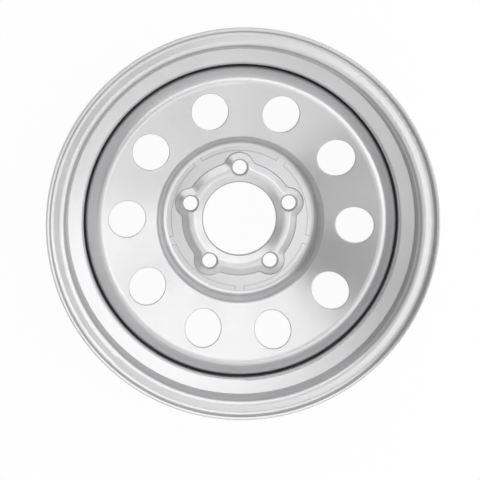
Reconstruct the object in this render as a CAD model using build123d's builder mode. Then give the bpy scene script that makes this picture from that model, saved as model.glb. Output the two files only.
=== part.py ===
from build123d import *
from math import cos, degrees, hypot, radians, sin, tan
import os

os.makedirs("parts", exist_ok=True)

# Steel disc wheel, lying on its inboard flange with the outboard face up.
# Frame: Z is the wheel's axis, z = 0 is the plane under the inboard lip, and +Y passes through
# the first stud hole. Lengths are millimetres, angles are degrees.

# Rim strip: rolled to one thickness, dimensions taken on the side that the tyre touches
rim_sheet = 3.0
seat_diameter = 380.2
rim_width = 152.4
flange_height = 17.3
flange_width = 13.0
curl_radius = 8.2
curl_past_top = 30.0
lip_edge_radius = 0.6
flange_root_radius = 4.0
seat_taper = 5.0
seat_width = 16.5
hump_rise = 1.2
hump_width = 6.4
hump_blend_radius = 3.0
hump_crown_radius = 3.5
well_depth = 17.3
well_wall_slope = 22.0
well_shoulder_radius = 3.6
well_corner_radius = 2.0
well_width = 50.0
inboard_slope = 45.0
inboard_shoulder_radius = 14.0

# Disc: pressed to one thickness, dimensions taken on its outboard face
disc_sheet = 4.5
wheel_offset = 0.0
flange_length = 25.0
flange_land = 12.0
flange_draft = 2.6
outer_roll_radius = 6.5
crest_height = 53.0
crest_inset = 17.8
crest_radius = 8.0
crest_slope = 22.0
dish_slope = 27.0
step_top_radius = 90.0
step_foot_radius = 84.8
step_top_blend = 6.0
step_foot_blend = 6.0

# Round vents, pierced along the wheel's axis
vent_count = 10
vent_diameter = 39.5
vent_shift = 2.5
vent_turn = -2.0
vent_edge = 0.7

# Boss round the bore: a raised ridge with one lobe at each stud hole
stud_count = 5
stud_circle = 114.3
stud_hole = 15.5
stud_seat = 19.8
stud_seat_angle = 60.0
bore_diameter = 81.0
bore_edge_radius = 2.0
boss_margin = 6.5
boss_height = 5.7
boss_wall_height = 1.9
boss_wall_inset = 1.0
boss_flank_inset = 8.5
boss_hollow_inset = 1.5
boss_top_inset = 9.9
boss_foot_radius = 0.8
boss_wall_radius = 1.0
ridge_radius = 5.0
inner_flank_width = 9.0
inner_flank_slope = 25.0
inner_ridge_radius = 8.0
lobe_radius = 17.0
lobe_blend = 5.0

# Shallow coined pads on the hub ring, one outside each lobe
pad_depth = 0.4
pad_width = 4.8
pad_clearance = 0.6
pad_gap = 10.0

# Weld stitches between the disc's flange and the rim's well
bead_count = 8
bead_leg = 4.4
bead_length = 55.0
bead_crown = 0.7
bead_end_radius = 1.6
bead_clearance = 0.02

# Places that follow from the sizes above
seat_radius = seat_diameter / 2
lip_radius = seat_radius + flange_height
inboard_face = flange_width
outboard_face = flange_width + rim_width
overall_width = rim_width + 2 * flange_width
well_outer = seat_radius - well_depth
well_inner = well_outer - rim_sheet
mounting_face = overall_width / 2 + wheel_offset
ring_face = mounting_face + disc_sheet
crest_face = mounting_face + crest_height
ridge_face = ring_face + boss_height
crest_circle = well_inner - crest_inset
vent_circle = (crest_circle + step_top_radius) / 2 + vent_shift
boss_radius = stud_circle / 2 + boss_margin
ridge_inner = bore_diameter / 2 + inner_flank_width
ridge_middle = (ridge_inner + boss_radius - boss_flank_inset) / 2
vent_start = 90 + 180 / vent_count + vent_turn
pad_inner = stud_circle / 2 + lobe_radius + boss_foot_radius + pad_clearance
pad_outer = pad_inner + pad_width

# The curl runs past its top, and the lip's rounded edge stands flush with the wheel's end plane
past_top = radians(curl_past_top)
curl_corner = lip_radius - curl_radius + curl_radius * (1 + sin(past_top)) / cos(past_top)
lip_reach = flange_width + lip_edge_radius * (cos(past_top) + sin(past_top) - 1)
lip_end = curl_corner - lip_reach * tan(past_top)
lip_corners = [lip_end, lip_end - rim_sheet * cos(past_top)]

# Two lengths closer than this are the same one
same_length = 0.01


def seat_line(along):
    """Radius of the tapered bead seat at a distance from the flange."""
    return seat_radius - along * tan(radians(seat_taper))


def flange_side(face, outward):
    """Tyre-side outline of one flange, bead seat and hump, from the lip to the hump's foot."""
    hump_top = seat_width + hump_width / 2
    hump_end = seat_width + hump_width
    outline = [
        (lip_end, lip_reach),
        (curl_corner, 0),
        (seat_radius, 0),
        (seat_line(seat_width), -seat_width),
        (seat_line(hump_top) + hump_rise, -hump_top),
        (seat_line(hump_end), -hump_end),
    ]
    return [(radius, face + outward * along) for radius, along in outline]


def round_edges(part, radius):
    """Full circles of one radius."""
    circles = part.edges().filter_by(GeomType.CIRCLE)
    return circles.filter_by(lambda edge: abs(edge.radius - radius) < same_length)


def level_edges(part, height, inner, outer):
    """Edges that lie in one level plane, between two distances from the wheel's axis."""
    found = part.edges().filter_by_position(Axis.Z, height - same_length, height + same_length)
    return found.filter_by(lambda edge: inner < hypot((edge @ 0.5).X, (edge @ 0.5).Y) < outer)


# Rim: the strip's tyre-side line from lip to lip, thickened towards the axis and revolved
hump_foot = seat_line(seat_width + hump_width)
well_wall_drop = (hump_foot - well_outer) * tan(radians(well_wall_slope))
well_floor_top = outboard_face - seat_width - hump_width - well_wall_drop
well_floor_end = well_floor_top - well_width
inboard_drop = (hump_foot - well_outer) * tan(radians(inboard_slope))

with BuildPart() as rim:
    with BuildSketch(Plane.XZ):
        with BuildLine():
            FilletPolyline(
                *flange_side(inboard_face, -1),
                (hump_foot, well_floor_end - inboard_drop),
                (well_outer, well_floor_end),
                (well_outer, well_floor_top),
                *reversed(flange_side(outboard_face, 1)),
                radius=[
                    curl_radius,
                    flange_root_radius,
                    hump_blend_radius,
                    hump_crown_radius,
                    hump_blend_radius,
                    inboard_shoulder_radius,
                    inboard_shoulder_radius,
                    well_corner_radius,
                    well_shoulder_radius,
                    hump_crown_radius,
                    hump_blend_radius,
                    flange_root_radius,
                    curl_radius,
                ],
            )
            offset(amount=rim_sheet, side=Side.LEFT)
        make_face()
    revolve(axis=Axis.Z)
    for corner in lip_corners:
        fillet(round_edges(rim, corner), lip_edge_radius)
rim.part.label = "rim"
export_step(rim.part, "parts/rim.step")


def draw_boss_outline(sketch, inset):
    """Plan of the boss: a disc with a round lobe at each stud hole, drawn in by the inset."""
    Circle(boss_radius)
    with PolarLocations(stud_circle / 2, stud_count, start_angle=90):
        Circle(lobe_radius)
    fillet(sketch.vertices(), lobe_blend)
    if inset:
        offset(amount=-inset)


# Disc: the pressed sheet outside the boss, the boss and its hollow, then the pierced holes
flange_corner = crest_face - (crest_inset + flange_draft) * tan(radians(crest_slope))
flange_end = crest_face - (crest_inset * tan(radians(crest_slope)) + flange_length)
step_top_face = crest_face - (crest_circle - step_top_radius) * tan(radians(dish_slope))
boss_reach = stud_circle / 2 + lobe_radius + boss_foot_radius
bore_radius = bore_diameter / 2
inner_flank_foot = ridge_face - (inner_flank_width + disc_sheet) * tan(radians(inner_flank_slope))
vent_middle = crest_face - (crest_circle - vent_circle) * tan(radians(dish_slope)) - disc_sheet / 2
boss_levels = [
    (mounting_face + disc_sheet / 2, 0),
    (ring_face, 0),
    (ring_face + boss_wall_height, boss_wall_inset),
    (ridge_face, boss_flank_inset),
]
hollow_levels = [
    (mounting_face - disc_sheet, boss_hollow_inset),
    (mounting_face, boss_hollow_inset),
    (ridge_face - disc_sheet, boss_top_inset),
]

with BuildPart() as disc:
    with BuildSketch(Plane.XZ):
        with BuildLine():
            FilletPolyline(
                (well_inner, flange_end),
                (well_inner, flange_end + flange_land),
                (well_inner - flange_draft, flange_corner),
                (crest_circle, crest_face),
                (step_top_radius, step_top_face),
                (step_foot_radius, ring_face),
                (boss_radius - boss_margin, ring_face),
                radius=[
                    outer_roll_radius,
                    outer_roll_radius,
                    crest_radius,
                    step_top_blend,
                    step_foot_blend,
                ],
            )
            offset(amount=disc_sheet, side=Side.LEFT)
        make_face()
    revolve(axis=Axis.Z)
    for height, inset in boss_levels:
        with BuildSketch(Plane.XY.offset(height)) as level:
            draw_boss_outline(level, inset)
    loft(ruled=True)
    for height, inset in hollow_levels:
        with BuildSketch(Plane.XY.offset(height)) as level:
            draw_boss_outline(level, inset)
    loft(ruled=True, mode=Mode.SUBTRACT)
    with Locations((0, 0, ridge_face)):
        Hole(ridge_middle)
    with BuildSketch(Plane.XZ):
        with BuildLine():
            FilletPolyline(
                (ridge_middle, ridge_face),
                (ridge_inner, ridge_face),
                (bore_radius - disc_sheet, inner_flank_foot),
                radius=[inner_ridge_radius],
            )
            offset(amount=disc_sheet, side=Side.LEFT)
        make_face()
    revolve(axis=Axis.Z)
    with Locations((0, 0, ridge_face)):
        Hole(bore_radius)
    fillet(level_edges(disc, ridge_face, ridge_middle, boss_reach), ridge_radius)
    wall_top = ring_face + boss_wall_height
    fillet(level_edges(disc, wall_top, ridge_middle, boss_reach), boss_wall_radius)
    fillet(level_edges(disc, ring_face, ridge_middle, boss_reach), boss_foot_radius)
    fillet(round_edges(disc, bore_radius).sort_by(Axis.Z)[-1], bore_edge_radius)
    with PolarLocations(vent_circle, vent_count, start_angle=vent_start):
        Hole(vent_diameter / 2)
    vent_rims = disc.edges(Select.LAST).filter_by(lambda edge: edge.center().Z > vent_middle)
    fillet(vent_rims.filter_by(GeomType.LINE, reverse=True), vent_edge)
    with Locations(Plane.XY.offset(ridge_face)):
        with PolarLocations(stud_circle / 2, stud_count, start_angle=90):
            CounterSinkHole(stud_hole / 2, stud_seat / 2, counter_sink_angle=stud_seat_angle)
    with BuildSketch(Plane.XY.offset(ring_face)):
        Circle(pad_outer)
        Circle(pad_inner, mode=Mode.SUBTRACT)
        with PolarLocations(pad_outer, stud_count, start_angle=270):
            Rectangle(4 * pad_width, pad_gap, mode=Mode.SUBTRACT)
    extrude(amount=-pad_depth, mode=Mode.SUBTRACT)
disc.part.label = "disc"
export_step(disc.part, "parts/disc.step")

# Weld stitches: convex fillets in the corner between the flange's end and the rim's well
bead_arc = degrees(bead_length / well_inner)
bead_spacing = 360 / bead_count
bead_back = well_inner - bead_clearance
bead_top = flange_end - bead_clearance

for number in range(bead_count):
    middle = bead_spacing * (number + 0.5)
    with BuildPart() as bead:
        with BuildSketch(Plane.XZ.rotated((0, 0, middle - bead_arc / 2))):
            with BuildLine():
                Polyline(
                    (bead_back - bead_leg, bead_top),
                    (bead_back, bead_top),
                    (bead_back, bead_top - bead_leg),
                )
                SagittaArc(
                    (bead_back, bead_top - bead_leg),
                    (bead_back - bead_leg, bead_top),
                    bead_crown,
                )
            make_face()
        revolve(axis=Axis.Z, revolution_arc=bead_arc)
        crown_ends = bead.edges().filter_by(GeomType.CIRCLE).sort_by(SortBy.LENGTH)[:2]
        fillet(crown_ends, bead_end_radius)
    bead.part.label = f"weld_bead_{number + 1}"
    export_step(bead.part, f"parts/weld_bead_{number + 1}.step")
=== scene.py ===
from math import cos, pi, radians, sin

import bpy
from mathutils import Matrix, Vector


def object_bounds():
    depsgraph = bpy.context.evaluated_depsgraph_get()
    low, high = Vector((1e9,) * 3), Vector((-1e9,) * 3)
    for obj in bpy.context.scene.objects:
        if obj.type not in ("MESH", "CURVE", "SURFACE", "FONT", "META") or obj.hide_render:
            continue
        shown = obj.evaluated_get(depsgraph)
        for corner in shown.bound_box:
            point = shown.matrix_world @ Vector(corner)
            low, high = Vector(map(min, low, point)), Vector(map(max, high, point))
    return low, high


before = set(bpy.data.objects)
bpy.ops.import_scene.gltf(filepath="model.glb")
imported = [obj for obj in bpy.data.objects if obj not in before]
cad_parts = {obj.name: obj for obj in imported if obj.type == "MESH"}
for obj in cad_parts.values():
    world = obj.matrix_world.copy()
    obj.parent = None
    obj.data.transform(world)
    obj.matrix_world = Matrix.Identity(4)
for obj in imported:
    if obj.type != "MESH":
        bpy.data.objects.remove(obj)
cad_low, cad_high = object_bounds()

MM = 0.001
FRONT = cad_high.z
MIDDLE = (cad_low.z + cad_high.z) / 2

# Camera: it stands a little above and left of the wheel's axis, and looks down on the outboard face
CAMERA_ABOVE_FRONT = 1420 * MM
CAMERA_FOOT = Vector((-107 * MM, 175 * MM))
AIM_ON_FRONT = Vector((-5.5 * MM, -12.8 * MM))
LENS = 102.9
SENSOR = 36.0

# Silver paint: grain sizes, the depth of its swells and how far the flake platelets tilt
PEEL_SIZE = 2.2 * MM
PEEL_DEPTH = 0.012 * MM
FLAKE_SIZE = 0.3 * MM
FLAKE_TILT = 0.05
CLOUD_SIZE = 45 * MM
SATIN = {"To Min": 0.30, "To Max": 0.36}

# Coined pads on the hub ring, as the CAD model has them, and a height inside the sheet under them
PAD_INNER = 75.5 * MM
PAD_OUTER = 80.3 * MM
PAD_GAP = 10 * MM
PAD_COUNT = 5
# Painted shade along the pad crease: width of the darkened line, and the share of the paint colour
# left at its middle
CREASE_WIDTH = 1.4 * MM
CREASE_SHADE = 0.55
RING_BACK = 91 * MM

# Ripples along the weld stitches in the well
WELD_RADIUS = 170 * MM
RIPPLE_PITCH = 2 * MM
RIPPLE_HEIGHT = 0.15 * MM
WAVER_SIZE = 6 * MM

# Floor: how much of it shows as plain white, straight to the camera and in the paint's gloss
FLOOR_REACH = 6.0
CAMERA_WHITE = 0.96
GLOSS_WHITE = 0.6

AIR_STRENGTH = 0.3
SOFTBOX_SIZE = 1.0
SOFTBOX_DISTANCE = 2.5


def linear(colour):
    """Linear RGBA of an sRGB hex colour."""
    values = [int(colour[i : i + 2], 16) / 255 for i in (1, 3, 5)]
    return [v / 12.92 if v <= 0.04045 else ((v + 0.055) / 1.055) ** 2.4 for v in values] + [1.0]


def add(tree, kind, settings=None, **links):
    """Adds a node, sets its properties and socket values, and links sockets to its inputs."""
    node = tree.nodes.new(kind)
    for name, value in (settings or {}).items():
        if name in node.inputs:
            node.inputs[name].default_value = value
        else:
            setattr(node, name, value)
    for name, socket in links.items():
        tree.links.new(socket, node.inputs[name.replace("_", " ")])
    return node


def calculate(tree, operation, *values):
    """Result of one math node on numbers or sockets."""
    node = add(tree, "ShaderNodeMath", {"operation": operation})
    for socket, value in zip(node.inputs, values):
        if isinstance(value, (int, float)):
            socket.default_value = value
        else:
            tree.links.new(value, socket)
    return node.outputs[0]


def object_place(tree):
    return add(tree, "ShaderNodeTexCoord").outputs["Object"]


def noise(tree, place, size, detail):
    """Soft noise from 0 to 1 with grains of the given size."""
    settings = {"Scale": 1 / size, "Detail": detail}
    return add(tree, "ShaderNodeTexNoise", settings, Vector=place).outputs["Fac"]


def new_material(name):
    material = bpy.data.materials.new(name)
    material.use_nodes = True
    material.node_tree.nodes.clear()
    return material, material.node_tree


def silver_paint(tree, height=None, crease_painted_shade=None):
    """Silver basecoat with aluminium flake, baked under a thin clear coat to a satin gloss."""
    place = object_place(tree)
    # Orange peel: sprayed paint dries in soft swells
    peel = noise(tree, place, PEEL_SIZE, 1.0)
    relief = {"Strength": 1.0, "Distance": PEEL_DEPTH}
    normal = add(tree, "ShaderNodeBump", relief, Height=peel).outputs["Normal"]
    if height:
        relief = {"Strength": 1.0, "Distance": MM}
        normal = add(tree, "ShaderNodeBump", relief, Height=height, Normal=normal).outputs["Normal"]
    # Flake: each platelet lies at its own small tilt, so the paint glitters finely up close
    flake = add(tree, "ShaderNodeTexVoronoi", {"Scale": 1 / FLAKE_SIZE}, Vector=place)
    spread = {"operation": "MULTIPLY_ADD"}
    tilt = add(tree, "ShaderNodeVectorMath", spread, Vector=flake.outputs["Color"])
    tilt.inputs[1].default_value = (2 * FLAKE_TILT,) * 3
    tilt.inputs[2].default_value = (-FLAKE_TILT,) * 3
    lean = add(tree, "ShaderNodeVectorMath", {"operation": "ADD"}, Vector=normal)
    tree.links.new(tilt.outputs["Vector"], lean.inputs[1])
    unit = {"operation": "NORMALIZE"}
    facing = add(tree, "ShaderNodeVectorMath", unit, Vector=lean.outputs["Vector"])
    # Clouding: the spray lays the flake a little lighter and darker over a few centimetres
    cloud = noise(tree, place, CLOUD_SIZE, 2.0)
    tone = add(tree, "ShaderNodeValToRGB", Fac=cloud)
    tone.color_ramp.elements[0].color = linear("#C7C7C8")
    tone.color_ramp.elements[1].color = linear("#D2D2D3")
    colour = tone.outputs["Color"]
    # Painted shade: the paint colour is darkened along the fine step of the pad crease, where shade
    # falls
    if crease_painted_shade:
        shade = add(tree, "ShaderNodeMapRange", {"To Min": 1.0, "To Max": CREASE_SHADE}, Value=crease_painted_shade)
        dim = {"operation": "SCALE"}
        shaded = add(tree, "ShaderNodeVectorMath", dim, Vector=colour, Scale=shade.outputs["Result"])
        colour = shaded.outputs["Vector"]
    gloss = add(tree, "ShaderNodeMapRange", SATIN, Value=cloud)
    return add(
        tree,
        "ShaderNodeBsdfPrincipled",
        {"Metallic": 0.85, "Coat Weight": 0.2, "Coat Roughness": 0.15},
        Base_Color=colour,
        Roughness=gloss.outputs["Result"],
        Normal=facing.outputs["Vector"],
    )


def weld_ripples(tree):
    """Height in millimetres of the crescent ripples that each pulse of the weld pool leaves."""
    place = object_place(tree)
    axes = add(tree, "ShaderNodeSeparateXYZ", Vector=place)
    bearing = calculate(tree, "ARCTAN2", axes.outputs["Y"], axes.outputs["X"])
    waver = noise(tree, place, WAVER_SIZE, 1.0)
    phase = calculate(tree, "MULTIPLY_ADD", bearing, 2 * pi * WELD_RADIUS / RIPPLE_PITCH, waver)
    return calculate(tree, "MULTIPLY", calculate(tree, "SINE", phase), RIPPLE_HEIGHT / MM)


def pad_crease_painted_shade(tree):
    """1 in the fine crease where the punch set the coined pads into the hub ring, else 0; the paint is
    darkened there as painted shade.
    """
    axes = add(tree, "ShaderNodeSeparateXYZ", Vector=object_place(tree))
    x, y, z = axes.outputs

    def calc(operation, *values):
        return calculate(tree, operation, *values)

    radius = calc("SQRT", calc("ADD", calc("MULTIPLY", x, x), calc("MULTIPLY", y, y)))
    # One gap between pads lies on the negative Y axis, and turn is the angle from the nearest gap
    half_sector = pi / PAD_COUNT
    turn = calc("WRAP", calc("ADD", calc("ARCTAN2", y, x), pi / 2), half_sector, -half_sector)
    across = calc("MULTIPLY", calc("ABSOLUTE", calc("SINE", turn)), radius)
    past_arc = calc("SUBTRACT", PAD_INNER, radius)
    past_end = calc("SUBTRACT", PAD_GAP / 2, across)
    distance = calc("ABSOLUTE", calc("MAXIMUM", past_arc, past_end))
    line = calc("SUBTRACT", 1, calc("DIVIDE", distance, CREASE_WIDTH / 2))
    line = calc("MULTIPLY", calc("MAXIMUM", line, 0), calc("LESS_THAN", radius, PAD_OUTER))
    return calc("MULTIPLY", line, calc("GREATER_THAN", z, RING_BACK))


def painted_steel(name, height=None, crease_painted_shade=None):
    """Silver painted steel, with a relief or with painted shade along the pad crease, drawn by
    functions of the node tree.
    """
    material, tree = new_material(name)
    paint = silver_paint(tree, height and height(tree), crease_painted_shade and crease_painted_shade(tree))
    add(tree, "ShaderNodeOutputMaterial", Surface=paint.outputs["BSDF"])
    return material


def dress(node, material):
    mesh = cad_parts[node].data
    mesh.materials.clear()
    mesh.materials.append(material)
    for face in mesh.polygons:
        face.material_index = 0


def white_floor():
    """Plain pale floor that the camera and the paint's gloss see as a white studio sweep."""
    material, tree = new_material("white_studio_floor")
    rays = add(tree, "ShaderNodeLightPath")
    in_gloss = calculate(tree, "MULTIPLY", rays.outputs["Is Glossy Ray"], GLOSS_WHITE)
    share = calculate(tree, "MULTIPLY_ADD", rays.outputs["Is Camera Ray"], CAMERA_WHITE, in_gloss)
    pale = add(tree, "ShaderNodeBsdfDiffuse", {"Color": linear("#F2F2F2")})
    glow = add(tree, "ShaderNodeEmission", {"Color": linear("#FFFFFF"), "Strength": 1.0})
    mix = add(tree, "ShaderNodeMixShader")
    tree.links.new(share, mix.inputs[0])
    tree.links.new(pale.outputs[0], mix.inputs[1])
    tree.links.new(glow.outputs[0], mix.inputs[2])
    add(tree, "ShaderNodeOutputMaterial", Surface=mix.outputs[0])

    mesh = bpy.data.meshes.new("floor")
    signs = ((-1, -1), (1, -1), (1, 1), (-1, 1))
    corners = [(x * FLOOR_REACH, y * FLOOR_REACH, cad_low.z) for x, y in signs]
    mesh.from_pydata(corners, [], [(0, 1, 2, 3)])
    mesh.materials.append(material)
    floor = bpy.data.objects.new("floor", mesh)
    bpy.context.scene.collection.objects.link(floor)


def studio_world():
    world = bpy.data.worlds.new("studio_air")
    bpy.context.scene.world = world
    world.use_nodes = True
    tree = world.node_tree
    tree.nodes.clear()
    settings = {"Color": linear("#FFFFFF"), "Strength": AIR_STRENGTH}
    air = add(tree, "ShaderNodeBackground", settings)
    add(tree, "ShaderNodeOutputWorld", Surface=air.outputs[0])


def softboxes(name, bearings, elevation, power):
    """Square softboxes of one power that face the wheel from bearings round its axis."""
    for bearing in bearings:
        turn, rise = radians(bearing), radians(elevation)
        away = Vector((cos(turn) * cos(rise), sin(turn) * cos(rise), sin(rise)))
        light = bpy.data.lights.new(f"{name}_{bearing}", "AREA")
        light.shape = "SQUARE"
        light.size = SOFTBOX_SIZE
        light.energy = power
        lamp = bpy.data.objects.new(light.name, light)
        lamp.location = Vector((0, 0, MIDDLE)) + away * SOFTBOX_DISTANCE
        lamp.rotation_mode = "QUATERNION"
        lamp.rotation_quaternion = away.to_track_quat("Z", "Y")
        bpy.context.scene.collection.objects.link(lamp)


def set_camera():
    data = bpy.data.cameras.new("camera")
    data.lens = LENS
    data.sensor_width = SENSOR
    camera = bpy.data.objects.new("camera", data)
    eye = Vector((*CAMERA_FOOT, FRONT + CAMERA_ABOVE_FRONT))
    ahead = (Vector((*AIM_ON_FRONT, FRONT)) - eye).normalized()
    right = ahead.cross(Vector((0, 1, 0))).normalized()
    up = right.cross(ahead)
    turned = Matrix((right, up, -ahead)).transposed().to_4x4()
    camera.matrix_world = Matrix.Translation(eye) @ turned
    bpy.context.scene.collection.objects.link(camera)
    bpy.context.scene.camera = camera


rim_paint = painted_steel("silver_painted_rim")
# The disc's paint carries painted shade along the pad crease
disc_paint = painted_steel("silver_painted_disc", crease_painted_shade=pad_crease_painted_shade)
weld_paint = painted_steel("silver_painted_weld", weld_ripples)
dress("rim", rim_paint)
dress("disc", disc_paint)
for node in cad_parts:
    if node.startswith("weld_bead"):
        dress(node, weld_paint)

white_floor()
studio_world()
softboxes("overhead_softbox", (0, 60, 300), 70, 3.5)
softboxes("overhead_fill_softbox", (120, 180, 240), 70, 1.5)
softboxes("key_softbox", (0, 40, 80, 120), 50, 5.0)
softboxes("fill_softbox", (200, 240, 280, 320), 50, 2.2)
softboxes("low_key_softbox", (0, 30, 60, 90, 120), 30, 2.6)
softboxes("low_fill_softbox", (250, 280, 310, 340), 30, 3.2)
set_camera()

bpy.context.scene.view_settings.view_transform = "Standard"
